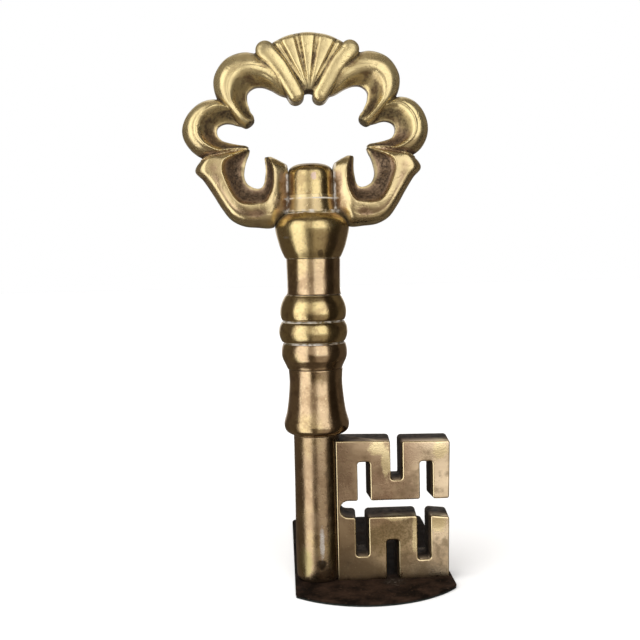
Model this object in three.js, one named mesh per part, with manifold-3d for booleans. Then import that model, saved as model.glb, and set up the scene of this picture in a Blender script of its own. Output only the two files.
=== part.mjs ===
// Ornamental brass key bookend: a cast bow and a stack of turned stem sections are clamped on one tie rod
// above a solid shank, a slotted bit is dowelled to the shank, and a thin steel tongue under both of them
// slides below the books. Units are millimetres, +Z is up, the books stand behind the key on the +Y side,
// and the origin is on the shelf under the shank's axis.
import * as THREE from "three";
import { mergeVertices } from "three/addons/utils/BufferGeometryUtils.js";
import Module from "manifold-3d";

const wasm = await Module();
wasm.setup();

// ---------- driving dimensions ----------
const GAP = 0.3; // clearance where one piece is shaped round another
const ROUND = 36; // facets round a turned piece
const SMALL_ROUND = 20; // facets round a rod, pin or screw

// the tongue and its felt
const TONGUE = { left: -11.3, right: 60.4, back: 92, thickness: 1.2, backCorner: 5 };
const FRONT_ARC = { x: 22.4, y: 14.8, r: 49.2 }; // the tongue's front edge is part of this circle
const FELT = 0.8;
const TONGUE_TOP = FELT + TONGUE.thickness;

// heights of the joints up the stem
const BALUSTER_FOOT = 68.7;
const BEADS_FOOT = 98.4;
const MIDDLE_BEAD_FOOT = 110.3;
const UPPER_BEAD_FOOT = 120;
const NECK_FOOT = 131.7;
const BULB_FOOT = 147.9;
const HUB_FOOT = 168.5;
const CAP_FOOT = 174.1;
const CAP_TOP = 190;

const SHANK_R = 10.2;
const CAP = { r: 10.6, dome: 8.6, squareness: 3.4 }; // the dome is a superellipse
const HUB = { topR: 10.8, footR: 11.4 }; // the bow's eye, which flares a little towards the bulb
const CHAMFER = 0.5; // the turned edge that leaves a fine groove at each joint
const PAST = 1; // how far a cutter runs past the face that it opens

// M8 tie rod, from inside the shank to inside the cap
const ROD = { r: 4, foot: 40, top: 184, spare: 1.5 }; // its holes are deeper by spare
const ROD_HOLE = 4.3;
const THREAD_PLAY = 0.12; // the threads are drawn as plain cylinders this far apart

// the bit
const BIT = { left: 6.5, right: 60.4, half: 7, foot: TONGUE_TOP, top: 66.2 };
const WARD_GAP = { foot: 31, top: 37.8, left: 10.2 };
const SLOT_CORNER = 1.6;
const UPPER_SLOTS = [
  { x: 20.7, width: 4.9, from: WARD_GAP.foot, to: 55.5 },
  { x: 35.6, width: 4.6, from: 47.8, to: BIT.top + SLOT_CORNER + PAST },
  { x: 49, width: 4.9, from: WARD_GAP.foot, to: 55.1 },
];
const LOWER_SLOTS = [
  { x: 19.7, width: 5.1, from: 13.2, to: WARD_GAP.top },
  { x: 33.3, width: 4.8, from: BIT.foot - SLOT_CORNER - PAST, to: 19.4 },
  { x: 47.7, width: 5.3, from: 10.8, to: WARD_GAP.top },
];

// fasteners
const SCREW = { r: 2, headR: 3.2, length: 14, xs: [0, 27, 54.5] };
const DOWEL = { r: 2, from: 5.6, to: 14.6, zs: [22, 52] };

// the bow's shell crest: a fan of petals between two rolls
const FAN = { z: 217, eye: 4, r: 30, half: 37, depth: 5.6 };
const ROLL = [[18.3, 238.6, 3.8], [12.2, 231.5, 3.5], [5.2, 219.2, 3.1]]; // x, z and radius along it
const ROLL_DEPTH = 9;
const PETALS = { z: 220, reach: 25.8, tipR: 0.8, depth: 8.4 }; // they spread from this height
const PETAL_ANGLES = [-20.8, -0.3, 19.4];
const PETAL_R = 3.1;

// Each scroll of the bow is a band lofted across stations. A station holds the band's outer edge (x, z), its
// inner edge (x, z), where the crest lies between them (0 to 1), the crest's height above the middle plane,
// and the heights of the outer and inner edges.
const EDGE = 2.2;
const UPPER_SCROLL = [
  [16.5, 240.2, 7.5, 219, 0.25, 7, 0, EDGE],
  [22, 238.5, 12, 220.2, 0.25, 7.6, 0, EDGE],
  [27, 239, 16, 222.4, 0.25, 8.2, 0, EDGE],
  [31.5, 238.1, 19.5, 223.7, 0.26, 8.5, 0, EDGE],
  [35.5, 236, 22.7, 223.7, 0.27, 8.5, 0, EDGE],
  [38.7, 232.3, 25, 222.4, 0.28, 8.5, 0, EDGE],
  [40.6, 227.7, 26.2, 220.7, 0.29, 8.5, 0, EDGE],
  [40.5, 222.9, 26.3, 218.8, 0.31, 8.5, 0, EDGE],
  [38.8, 218.2, 26, 216.7, 0.33, 8.5, 0, EDGE],
  [35.5, 214, 25.2, 214.6, 0.34, 8.2, 0, EDGE],
  [32, 210.2, 24.4, 212.6, 0.35, 7.6, 0, EDGE],
  [29, 207, 23.2, 211, 0.38, 6.6, 0, EDGE],
  [26.8, 206, 23.4, 209, 0.5, 5.6, 2, 2],
];
const MIDDLE_SCROLL = [
  [36, 216.9, 28, 206.7, 0.22, 6.5, 0, EDGE],
  [39.2, 218.5, 30.3, 207.2, 0.2, 7.4, 0, EDGE],
  [43, 218.4, 32.6, 207.9, 0.2, 8, 0, EDGE],
  [46.6, 217, 34.9, 208.1, 0.22, 8.2, 0, EDGE],
  [49.9, 214.3, 37, 207.5, 0.25, 8.2, 0, EDGE],
  [52.4, 210.6, 38.5, 206.3, 0.27, 8.2, 0, EDGE],
  [53.8, 206.2, 39, 204.4, 0.29, 8.2, 0, EDGE],
  [53.6, 202.2, 38.5, 202.4, 0.31, 8.2, 0, EDGE],
  [52, 198.4, 37, 200.6, 0.35, 8, 0, EDGE],
  [49.3, 195.1, 34.8, 199.7, 0.42, 7.6, 0, EDGE],
  [45.5, 192.9, 32, 199, 0.48, 6.8, 0, EDGE],
  [39, 194.2, 29.4, 198.5, 0.52, 5.8, 0, EDGE],
  [32.5, 195.4, 27, 198.1, 0.52, 4.6, 0, EDGE],
  [27.2, 196.5, 25.7, 197.3, 0.5, 3.4, 2, 2],
];
const LOWER_SCROLL = [
  [26.6, 196.8, 25.5, 196.2, 0.5, 3.4, 2, 2],
  [33, 195.7, 26.1, 194.4, 0.4, 5.2, 0, EDGE],
  [40, 194.4, 27.1, 192.2, 0.42, 7, 0, EDGE],
  [46, 192.5, 27.9, 189.9, 0.47, 8.2, 0, EDGE],
  [49.6, 187.4, 28.5, 186.9, 0.56, 8.5, 0, EDGE],
  [46.2, 183.2, 28.6, 184.9, 0.5, 8.5, 0, EDGE],
  [42.4, 177.2, 28.1, 182.9, 0.45, 8.5, 0, EDGE],
  [38.6, 170.7, 27.1, 181.2, 0.43, 8.5, 0, EDGE],
  [34.7, 165.6, 25.7, 180.2, 0.46, 8.5, 0, EDGE],
  [29.5, 162.8, 24.2, 179.5, 0.52, 8.5, 0, EDGE],
  [23.5, 162, 22.6, 179.3, 0.57, 8.5, 0, EDGE],
  [16.5, 162, 21.1, 179.8, 0.64, 8.5, 1.5, EDGE],
  [11.6, 167.4, 20.1, 181.6, 0.64, 8.5, 3.5, EDGE],
  [9.4, 172.9, 19.7, 183.6, 0.64, 8.2, 3.2, EDGE],
  [8.6, 178.9, 19.5, 186.4, 0.66, 7.8, 3, EDGE],
  [8.6, 187.8, 19.8, 189.6, 0.7, 7.4, 2.6, EDGE],
  [12.5, 191, 20.2, 191.9, 0.66, 5.8, 2, EDGE],
  [16.5, 193.1, 19.8, 193.1, 0.5, 3.4, 2, 2],
];
// The hand-cut pattern is uneven: its left half is wider, and the side scrolls at mid height lean left.
const LEFT_WIDER = 1.03;
const LEAN = { x: -0.9, z: 206, spread: 11 };

// ---------- materials ----------
const metal = (color, roughness, metalness = 1) =>
  new THREE.MeshStandardMaterial({ color, roughness, metalness });
const brass = () => metal(0xb08d57, 0.3);
const castBrass = () => metal(0xa07c48, 0.4);
const steel = () => metal(0x8a8a88, 0.4);
const plateSteel = () => metal(0x2c211c, 0.65, 0.6);
const feltCloth = () => metal(0x1d2a20, 1, 0);

// ---------- solids ----------
function solid(geometry, matrix = new THREE.Matrix4()) {
  const bare = new THREE.BufferGeometry();
  const source = geometry.index ? geometry.toNonIndexed() : geometry;
  bare.setAttribute("position", source.getAttribute("position").clone());
  bare.applyMatrix4(matrix);
  const merged = mergeVertices(bare, 1e-4);
  const triVerts = new Uint32Array(merged.index.array);
  const vertProperties = new Float32Array(merged.attributes.position.array);
  const made = new wasm.Manifold(new wasm.Mesh({ numProp: 3, vertProperties, triVerts }));
  if (made.volume() > 0) return made;
  for (let i = 0; i < triVerts.length; i += 3) {
    [triVerts[i + 1], triVerts[i + 2]] = [triVerts[i + 2], triVerts[i + 1]];
  }
  return new wasm.Manifold(new wasm.Mesh({ numProp: 3, vertProperties, triVerts }));
}

function geometryOf(made) {
  const mesh = made.getMesh();
  const geometry = new THREE.BufferGeometry();
  geometry.setAttribute("position", new THREE.BufferAttribute(new Float32Array(mesh.vertProperties), 3));
  geometry.setIndex(new THREE.BufferAttribute(new Uint32Array(mesh.triVerts), 1));
  const shaded = geometry.toNonIndexed();
  shaded.computeVertexNormals();
  return shaded;
}

const at = (x, y, z) => new THREE.Matrix4().makeTranslation(x, y, z);
const upright = new THREE.Matrix4().makeRotationX(Math.PI / 2);

// A turned solid from [radius, height] pairs that start and end on the axis.
function turned(profile, segments = ROUND) {
  const points = profile.map(([r, z]) => new THREE.Vector2(r, z));
  return solid(new THREE.LatheGeometry(points, segments), upright);
}

// A plain cylinder on the Z axis.
function rod(r, foot, top, segments = SMALL_ROUND) {
  return turned([[0, foot], [r, foot], [r, top], [0, top]], segments);
}

// A turned section with a fine chamfer at both joints and a through hole for the tie rod.
function section(outline, foot, top) {
  const first = outline[0];
  const last = outline[outline.length - 1];
  const profile = [
    [0, foot],
    [first[0] - CHAMFER, foot],
    [first[0], foot + CHAMFER],
    ...outline.slice(1, -1),
    [last[0], top - CHAMFER],
    [last[0] - CHAMFER, top],
    [0, top],
  ];
  return turned(profile).subtract(rod(ROD_HOLE, foot - PAST, top + PAST));
}

// A rounded bead between two joints, as an arc of heights and radii.
function bead(foot, top, footR, topR, bellyR, bellyAt, steps = 6) {
  const outline = [];
  const belly = foot + (top - foot) * bellyAt;
  for (let i = 0; i <= steps; i++) {
    const z = foot + ((top - foot) * i) / steps;
    const below = z < belly;
    const edgeR = below ? footR : topR;
    const t = below ? (belly - z) / (belly - foot) : (z - belly) / (top - belly);
    outline.push([edgeR + (bellyR - edgeR) * (1 - t * t), z]);
  }
  return section(outline, foot, top);
}

// ---------- the base ----------
function tongueOutline() {
  const { left, right, back, backCorner } = TONGUE;
  const shape = new THREE.Shape();
  const angleAt = (x) => -Math.acos((x - FRONT_ARC.x) / FRONT_ARC.r);
  shape.absarc(FRONT_ARC.x, FRONT_ARC.y, FRONT_ARC.r, angleAt(left), angleAt(right), false);
  shape.lineTo(right, back - backCorner);
  shape.absarc(right - backCorner, back - backCorner, backCorner, 0, Math.PI / 2, false);
  shape.lineTo(left + backCorner, back);
  shape.absarc(left + backCorner, back - backCorner, backCorner, Math.PI / 2, Math.PI, false);
  return shape;
}

const flatPlate = (foot, depth) =>
  solid(
    new THREE.ExtrudeGeometry(tongueOutline(), { depth, bevelEnabled: false, curveSegments: 8 }),
    at(0, 0, foot),
  );

// A countersunk screw whose flat head is at the foot. Play makes the hole that it goes in.
function countersunk(x, play) {
  const head = SCREW.headR + play;
  const shaft = SCREW.r + play;
  const profile = [
    [0, FELT - play],
    [head, FELT - play],
    [head, FELT],
    [shaft, FELT + SCREW.headR - SCREW.r],
    [shaft, FELT + SCREW.length + play],
    [0, FELT + SCREW.length + play],
  ];
  return turned(play ? profile : profile.filter((p, i) => i !== 1), SMALL_ROUND).translate([x, 0, 0]);
}

function tongue() {
  const holes = SCREW.xs.map((x) => countersunk(x, THREAD_PLAY));
  return holes.reduce((plate, hole) => plate.subtract(hole), flatPlate(FELT, TONGUE.thickness));
}

// ---------- the stem ----------
const dowel = (z, play) => {
  const along = new THREE.CylinderGeometry(
    DOWEL.r + play, DOWEL.r + play, DOWEL.to - DOWEL.from + 2 * play, SMALL_ROUND,
  );
  const turn = new THREE.Matrix4().makeRotationZ(Math.PI / 2);
  return solid(along, at((DOWEL.from + DOWEL.to) / 2, 0, z).multiply(turn));
};

function shank() {
  const bar = turned([
    [0, TONGUE_TOP],
    [SHANK_R - 1.6, TONGUE_TOP],
    [SHANK_R - 0.5, TONGUE_TOP + 0.7],
    [SHANK_R, TONGUE_TOP + 2],
    [SHANK_R, BALUSTER_FOOT - CHAMFER],
    [SHANK_R - CHAMFER, BALUSTER_FOOT],
    [0, BALUSTER_FOOT],
  ]);
  const rodHole = rod(ROD.r + THREAD_PLAY, ROD.foot - ROD.spare, BALUSTER_FOOT + PAST);
  const dowelHoles = DOWEL.zs.map((z) => dowel(z, THREAD_PLAY));
  const holes = [rodHole, countersunk(SCREW.xs[0], THREAD_PLAY), ...dowelHoles];
  return holes.reduce((body, hole) => body.subtract(hole), bar);
}

const baluster = () =>
  section(
    [
      [SHANK_R + 1.6, BALUSTER_FOOT],
      [13.2, 69.9],
      [14.4, 71.6],
      [14.7, 73.4],
      [14.1, 76],
      [13.2, 79.6],
      [12.4, 84],
      [11.9, 90],
      [12, 95],
      [12.3, BEADS_FOOT],
    ],
    BALUSTER_FOOT,
    BEADS_FOOT,
  );

const lowerBead = () =>
  section(
    [
      [12.4, BEADS_FOOT],
      [12.9, 100.2],
      [13.9, 102.2],
      [14.6, 104.2],
      [14.8, 106.4],
      [14.6, 108.6],
      [14.2, MIDDLE_BEAD_FOOT],
    ],
    BEADS_FOOT,
    MIDDLE_BEAD_FOOT,
  );

const middleBead = () => bead(MIDDLE_BEAD_FOOT, UPPER_BEAD_FOOT, 14.1, 14.2, 15.4, 0.55);
const upperBead = () => bead(UPPER_BEAD_FOOT, NECK_FOOT, 14.2, 12.4, 14.9, 0.36, 7);

const neck = () =>
  section(
    [
      [12.3, NECK_FOOT],
      [11.95, NECK_FOOT + 1.5],
      [11.9, 138],
      [12.1, 145],
      [12.2, BULB_FOOT],
    ],
    NECK_FOOT,
    BULB_FOOT,
  );

const BULB_OUTLINE = [
  [12.5, BULB_FOOT],
  [13.9, 151],
  [14.9, 154],
  [15.8, 157],
  [16.5, 160],
  [16.6, 162],
  [15.9, 164.4],
  [14.4, 166.4],
  [12.4, 167.9],
  [HUB.footR, HUB_FOOT],
];
const bulb = () => section(BULB_OUTLINE, BULB_FOOT, HUB_FOOT);

function capNut() {
  const shoulder = CAP_TOP - CAP.dome;
  const profile = [[0, CAP_FOOT], [CAP.r - CHAMFER, CAP_FOOT], [CAP.r, CAP_FOOT + CHAMFER]];
  const steps = 7;
  for (let i = 0; i <= steps; i++) {
    const a = (i / steps) * (Math.PI / 2);
    const across = Math.cos(a) ** (2 / CAP.squareness);
    const up = Math.sin(a) ** (2 / CAP.squareness);
    profile.push([CAP.r * across, shoulder + CAP.dome * up]);
  }
  profile[profile.length - 1][0] = 0;
  return turned(profile).subtract(rod(ROD.r + THREAD_PLAY, CAP_FOOT - PAST, ROD.top + ROD.spare));
}

// ---------- the bit ----------
// A slot with rounded corners, cut right through the bit from front to back.
function slot({ x, width, from, to }) {
  const shape = new THREE.Shape();
  const [l, r, c] = [x - width / 2, x + width / 2, SLOT_CORNER];
  shape.moveTo(l, from + c);
  shape.absarc(l + c, from + c, c, Math.PI, 1.5 * Math.PI, false);
  shape.absarc(r - c, from + c, c, 1.5 * Math.PI, 2 * Math.PI, false);
  shape.absarc(r - c, to - c, c, 0, Math.PI / 2, false);
  shape.absarc(l + c, to - c, c, Math.PI / 2, Math.PI, false);
  return acrossBit(shape);
}

function acrossBit(shape) {
  const depth = 2 * (BIT.half + PAST);
  const geometry = new THREE.ExtrudeGeometry(shape, { depth, bevelEnabled: false, curveSegments: 3 });
  return solid(geometry, at(0, BIT.half + PAST, 0).multiply(upright));
}

function bit() {
  const height = BIT.top - BIT.foot;
  const block = solid(
    new THREE.BoxGeometry(BIT.right - BIT.left, 2 * BIT.half, height),
    at((BIT.left + BIT.right) / 2, 0, BIT.foot + height / 2),
  );
  const gapMiddle = (WARD_GAP.left + BIT.right + SLOT_CORNER + PAST) / 2;
  const wardGap = slot({
    x: gapMiddle,
    width: 2 * (gapMiddle - WARD_GAP.left),
    from: WARD_GAP.foot,
    to: WARD_GAP.top,
  });
  const cuts = [
    wardGap,
    ...UPPER_SLOTS.map(slot),
    ...LOWER_SLOTS.map(slot),
    rod(SHANK_R + GAP, BIT.foot - PAST, BIT.top + PAST, ROUND),
    ...SCREW.xs.slice(1).map((x) => countersunk(x, THREAD_PLAY)),
    ...DOWEL.zs.map((z) => dowel(z, THREAD_PLAY)),
  ];
  return cuts.reduce((body, cut) => body.subtract(cut), block);
}

// ---------- the bow ----------
function uneven(x, z) {
  const wide = x < 0 ? x * LEFT_WIDER : x;
  return wide + LEAN.x * Math.exp(-(((z - LEAN.z) / LEAN.spread) ** 2));
}

// The front half of a band's section as [share across, height]: a convex flank outside the crest and a
// hollow scoop inside it.
function bandSection([, , , , crest, high, outerEdge, innerEdge]) {
  const half = [];
  for (const t of [0, 0.12, 0.42, 1]) {
    const rise = Math.sqrt(1 - (1 - t) ** 2);
    half.push([crest * t, outerEdge + (high - outerEdge) * rise]);
  }
  for (const t of [0.3, 0.62, 1]) {
    const fall = (1 - t) ** 1.6;
    half.push([crest + (1 - crest) * t, innerEdge + (high - innerEdge) * fall]);
  }
  half[0][1] = Math.max(half[0][1], 0.05);
  return half;
}

function band(stations, side, steps) {
  const curve = (k) => {
    const points = stations.map((s) => new THREE.Vector3(s[k], s[k + 1], 0));
    return new THREE.CatmullRomCurve3(points, false, "centripetal");
  };
  const rows = [curve(0), curve(2)];
  const rings = [];
  const last = stations.length - 1;
  for (let i = 0; i <= steps; i++) {
    const t = i / steps;
    const k = Math.min(Math.floor(t * last), last - 1);
    const mix = t * last - k;
    const station = stations[k].map((v, j) => v + (stations[k + 1][j] - v) * mix);
    const [outer, inner] = rows.map((row) => row.getPoint(t));
    const front = bandSection(station).map(([u, high]) => {
      const p = outer.clone().lerp(inner, u);
      return [uneven(side * p.x, p.y), high, p.y];
    });
    const back = front.map(([x, high, z]) => [x, -high, z]).reverse();
    rings.push([...back, ...front]);
  }
  return loft(rings);
}

// A closed solid through rings of equal point counts, with flat fans at both ends.
function loft(rings) {
  const count = rings[0].length;
  const faces = [];
  const face = (a, b, c) => faces.push(...a, ...b, ...c);
  for (let i = 0; i + 1 < rings.length; i++) {
    for (let j = 0; j < count; j++) {
      const k = (j + 1) % count;
      face(rings[i][j], rings[i][k], rings[i + 1][k]);
      face(rings[i][j], rings[i + 1][k], rings[i + 1][j]);
    }
  }
  for (const [ring, flip] of [[rings[0], true], [rings[rings.length - 1], false]]) {
    const middle = [0, 1, 2].map((axis) => ring.reduce((sum, p) => sum + p[axis], 0) / count);
    for (let j = 0; j < count; j++) {
      const [a, b] = [ring[j], ring[(j + 1) % count]];
      face(middle, flip ? b : a, flip ? a : b);
    }
  }
  const geometry = new THREE.BufferGeometry();
  geometry.setAttribute("position", new THREE.BufferAttribute(new Float32Array(faces), 3));
  return solid(geometry);
}

// A long drop with round ends between two points of the bow's plane, stretched through its thickness.
function drop(x0, z0, r0, x1, z1, r1, depth) {
  const length = Math.hypot(x1 - x0, z1 - z0);
  const points = [];
  const arc = 4;
  for (let i = 0; i <= arc; i++) {
    const a = (-Math.PI / 2) * (1 - i / arc);
    points.push(new THREE.Vector2(r1 * Math.cos(a), r1 * Math.sin(a)));
  }
  for (let i = 0; i <= arc; i++) {
    const a = (Math.PI / 2) * (i / arc);
    points.push(new THREE.Vector2(r0 * Math.cos(a), length + r0 * Math.sin(a)));
  }
  points[0].x = points[points.length - 1].x = 0;
  const stretch = new THREE.Matrix4().makeScale(1, depth / Math.max(r0, r1), 1);
  const slant = new THREE.Matrix4().makeRotationY(Math.atan2(x0 - x1, z0 - z1));
  const place = at(x1, 0, z1).multiply(slant).multiply(stretch).multiply(upright);
  return solid(new THREE.LatheGeometry(points, 16), place);
}

function shellCrest() {
  const rad = THREE.MathUtils.degToRad;
  const fan = new THREE.Shape();
  const inner = FAN.eye * Math.sin(rad(FAN.half));
  fan.moveTo(-inner, FAN.z + FAN.eye * Math.cos(rad(FAN.half)));
  fan.lineTo(0, FAN.z + FAN.eye);
  fan.lineTo(inner, FAN.z + FAN.eye * Math.cos(rad(FAN.half)));
  fan.absarc(0, FAN.z, FAN.r, rad(90 - FAN.half), rad(90 + FAN.half), false);
  const prism = (depth) =>
    solid(
      new THREE.ExtrudeGeometry(fan, { depth: 2 * depth, bevelEnabled: false, curveSegments: 12 }),
      at(0, depth, 0).multiply(upright),
    );
  let petals = prism(FAN.depth);
  for (const angle of PETAL_ANGLES) {
    const x = PETALS.reach * Math.sin(rad(angle));
    const z = PETALS.z + PETALS.reach * Math.cos(rad(angle));
    petals = petals.add(drop(x, z, PETAL_R, 0, PETALS.z, PETALS.tipR, PETALS.depth));
  }
  petals = petals.intersect(prism(ROLL_DEPTH));
  for (const side of [-1, 1]) {
    for (let i = 1; i < ROLL.length; i++) {
      const [fromX, fromZ, fromR] = ROLL[i - 1];
      const [toX, toZ, toR] = ROLL[i];
      petals = petals.add(drop(side * fromX, fromZ, fromR, side * toX, toZ, toR, ROLL_DEPTH));
    }
  }
  return petals;
}

function bow() {
  let body = shellCrest();
  for (const side of [-1, 1]) {
    body = body
      .add(band(UPPER_SCROLL, side, 20))
      .add(band(MIDDLE_SCROLL, side, 20))
      .add(band(LOWER_SCROLL, side, 26));
  }
  const bulbClearance = turned([
    [0, BULB_FOOT],
    ...BULB_OUTLINE.map(([r, z]) => [r + GAP, z]),
    [0, HUB_FOOT],
  ]);
  const capClearance = rod(CAP.r + GAP, CAP_FOOT, CAP_TOP + PAST, ROUND);
  const eye = turned([[0, HUB_FOOT], [HUB.footR, HUB_FOOT], [HUB.topR, CAP_FOOT], [0, CAP_FOOT]]);
  return body
    .subtract(capClearance)
    .subtract(bulbClearance)
    .add(eye)
    .subtract(rod(ROD_HOLE, HUB_FOOT - PAST, CAP_FOOT + PAST));
}

// ---------- assembly ----------
const bookend = new THREE.Group();
function add(name, made, material) {
  const mesh = new THREE.Mesh(geometryOf(made), material);
  mesh.name = name;
  bookend.add(mesh);
}

add("felt_pad", flatPlate(0, FELT), feltCloth());
add("tongue_plate", tongue(), plateSteel());
add("shank", shank(), brass());
add("bit", bit(), castBrass());
add("baluster", baluster(), brass());
add("lower_bead", lowerBead(), brass());
add("middle_bead", middleBead(), brass());
add("upper_bead", upperBead(), brass());
add("neck", neck(), brass());
add("bulb", bulb(), brass());
add("bow", bow(), castBrass());
add("cap_nut", capNut(), brass());
add("tie_rod", rod(ROD.r, ROD.foot, ROD.top), steel());
["shank_screw", "bit_inner_screw", "bit_outer_screw"].forEach((name, i) => {
  add(name, countersunk(SCREW.xs[i], 0), steel());
});
["lower_dowel", "upper_dowel"].forEach((name, i) => {
  add(name, dowel(DOWEL.zs[i], 0), steel());
});

export default bookend;
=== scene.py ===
"""Brass key bookend: fine surfaces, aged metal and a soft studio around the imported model."""
import math
from functools import partial
import bmesh
import bpy
import numpy as np
from mathutils import Matrix, Vector
from mathutils.kdtree import KDTree


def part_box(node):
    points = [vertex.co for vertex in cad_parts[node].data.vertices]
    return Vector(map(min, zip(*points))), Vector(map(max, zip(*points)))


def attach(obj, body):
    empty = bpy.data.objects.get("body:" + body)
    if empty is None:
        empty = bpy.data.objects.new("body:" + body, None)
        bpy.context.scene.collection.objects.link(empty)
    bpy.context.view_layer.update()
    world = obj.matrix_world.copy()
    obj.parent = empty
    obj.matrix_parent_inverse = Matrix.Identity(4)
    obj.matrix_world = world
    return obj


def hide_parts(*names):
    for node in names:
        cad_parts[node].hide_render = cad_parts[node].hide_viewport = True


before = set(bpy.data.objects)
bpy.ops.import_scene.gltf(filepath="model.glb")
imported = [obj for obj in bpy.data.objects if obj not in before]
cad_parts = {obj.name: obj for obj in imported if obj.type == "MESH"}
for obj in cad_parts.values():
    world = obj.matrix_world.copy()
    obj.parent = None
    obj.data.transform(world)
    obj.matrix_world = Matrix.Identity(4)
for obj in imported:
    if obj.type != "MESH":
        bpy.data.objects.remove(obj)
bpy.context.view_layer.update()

MM = 0.001


# ---------- sizes, in millimetres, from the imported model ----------
def box_mm(node):
    low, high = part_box(node)
    return [c / MM for c in low], [c / MM for c in high]


def joint_heights(node):
    low, high = box_mm(node)
    return low[2], high[2]


PLATE_LOW, PLATE_HIGH = box_mm("tongue_plate")
BIT_LOW, BIT_HIGH = box_mm("bit")
SHANK_R = box_mm("shank")[1][0]
CAP_R = box_mm("cap_nut")[1][0]
CAP_TOP = box_mm("cap_nut")[1][2]
CAP_DOME, CAP_SQUARENESS = 8.6, 3.4  # the dome is a superellipse
HUB_TOP_R, HUB_FOOT_R = CAP_R + 0.2, CAP_R + 0.8  # the bow's eye flares towards the bulb
HUB_FOOT, HUB_TOP = joint_heights("bulb")[1], joint_heights("cap_nut")[0]
HUB_MIDDLE = (HUB_FOOT + HUB_TOP) / 2
ROD_R = box_mm("tie_rod")[1][0]
BORE_R = ROD_R + 0.3
SCREW_NODES = ["shank_screw", "bit_inner_screw", "bit_outer_screw"]
ROD_NODES = ["tie_rod", "lower_dowel", "upper_dowel"]
EDGE = 0.4  # rounding on turned edges
BIT_CASTING_GAP = 0.12  # between the bit and the shank


# ---------- mesh helpers ----------
def new_object(name, mesh):
    thing = bpy.data.objects.new(name, mesh)
    bpy.context.scene.collection.objects.link(thing)
    return thing


def object_from(name, points, faces):
    """An object from points in millimetres, with its faces turned outwards."""
    mesh = bpy.data.meshes.new(name)
    mesh.from_pydata([tuple(float(c) * MM for c in p) for p in points], [], [tuple(f) for f in faces])
    bm = bmesh.new()
    bm.from_mesh(mesh)
    bmesh.ops.recalc_face_normals(bm, faces=bm.faces)
    bm.to_mesh(mesh)
    bm.free()
    return new_object(name, mesh)


def smooth_by_angle(thing, degrees):
    thing.data.shade_smooth()
    bm = bmesh.new()
    bm.from_mesh(thing.data)
    limit = math.radians(degrees)
    for edge in bm.edges:
        edge.smooth = len(edge.link_faces) == 2 and edge.calc_face_angle(0) < limit
    bm.to_mesh(thing.data)
    bm.free()


def loop_faces(rings, around, closed=False):
    """Quads between rings that are loops of points. closed joins the last ring to the first."""
    faces = []
    for i in range(rings if closed else rings - 1):
        a = i * around
        b = (i + 1) % rings * around
        for j in range(around):
            k = (j + 1) % around
            faces.append((a + j, a + k, b + k, b + j))
    return faces


def apply_modifiers(thing):
    depsgraph = bpy.context.evaluated_depsgraph_get()
    mesh = bpy.data.meshes.new_from_object(thing.evaluated_get(depsgraph))
    thing.modifiers.clear()
    thing.data = mesh


def cut(thing, tool):
    """Cuts tool from thing, and deletes tool."""
    step = thing.modifiers.new("difference", "BOOLEAN")
    step.operation = "DIFFERENCE"
    step.solver = "EXACT"
    step.object = tool
    apply_modifiers(thing)
    bpy.data.objects.remove(tool)


def remeshed(thing, voxel):
    step = thing.modifiers.new("remesh", "REMESH")
    step.mode = "VOXEL"
    step.voxel_size = voxel * MM
    step.use_smooth_shade = True
    apply_modifiers(thing)


def curve_through(points, samples):
    """A smooth curve through rows of numbers, whose first two columns set the spacing."""
    p = np.array(points, float)
    chord = np.linalg.norm(np.diff(p[:, :2], axis=0), axis=1)
    step = np.maximum(chord, 0.2) ** 0.5
    knots = np.concatenate([[0], np.cumsum(step)])
    slope = np.diff(p, axis=0) / step[:, None]
    tangent = np.empty_like(p)
    tangent[0], tangent[-1] = slope[0], slope[-1]
    before, after = step[:-1, None], step[1:, None]
    tangent[1:-1] = (slope[1:] * before + slope[:-1] * after) / (before + after)
    at = np.linspace(0, knots[-1], samples)
    k = np.clip(np.searchsorted(knots, at, side="right") - 1, 0, len(step) - 1)
    h = step[k, None]
    t = ((at - knots[k]) / step[k])[:, None]
    return (
        (2 * t**3 - 3 * t**2 + 1) * p[k]
        + (t**3 - 2 * t**2 + t) * h * tangent[k]
        + (3 * t**2 - 2 * t**3) * p[k + 1]
        + (t**3 - t**2) * h * tangent[k + 1]
    )


def rounded_corners(points, radii, steps=5):
    """A closed outline with its corners rounded."""
    out = []
    count = len(points)
    for i, corner in enumerate(points):
        r = radii[i]
        if not r:
            out.append(tuple(corner))
            continue
        c = np.array(corner, float)
        to_last = np.array(points[i - 1], float) - c
        to_next = np.array(points[(i + 1) % count], float) - c
        to_last /= np.linalg.norm(to_last)
        to_next /= np.linalg.norm(to_next)
        half = math.acos(float(np.clip(to_last @ to_next, -1, 1))) / 2
        reach = r / math.tan(half)
        centre = c + (to_last + to_next) / np.linalg.norm(to_last + to_next) * r / math.sin(half)
        first, last = c + to_last * reach, c + to_next * reach
        a0 = math.atan2(*(first - centre)[::-1])
        a1 = math.atan2(*(last - centre)[::-1])
        turn = (a1 - a0 + math.pi) % (2 * math.pi) - math.pi
        for s in range(steps + 1):
            a = a0 + turn * s / steps
            out.append((centre[0] + r * math.cos(a), centre[1] + r * math.sin(a)))
    return out


def inset(outline, distance):
    """The outline moved inwards by distance, corner by corner. The outline runs anticlockwise."""
    p = np.array(outline, float)
    ahead = np.roll(p, -1, axis=0) - p
    ahead /= np.maximum(np.linalg.norm(ahead, axis=1), 1e-9)[:, None]
    normal = np.stack([-ahead[:, 1], ahead[:, 0]], axis=1)
    both = normal + np.roll(normal, 1, axis=0)
    both /= np.maximum((both**2).sum(1), 0.4)[:, None] / 2
    return p + both * distance


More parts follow.
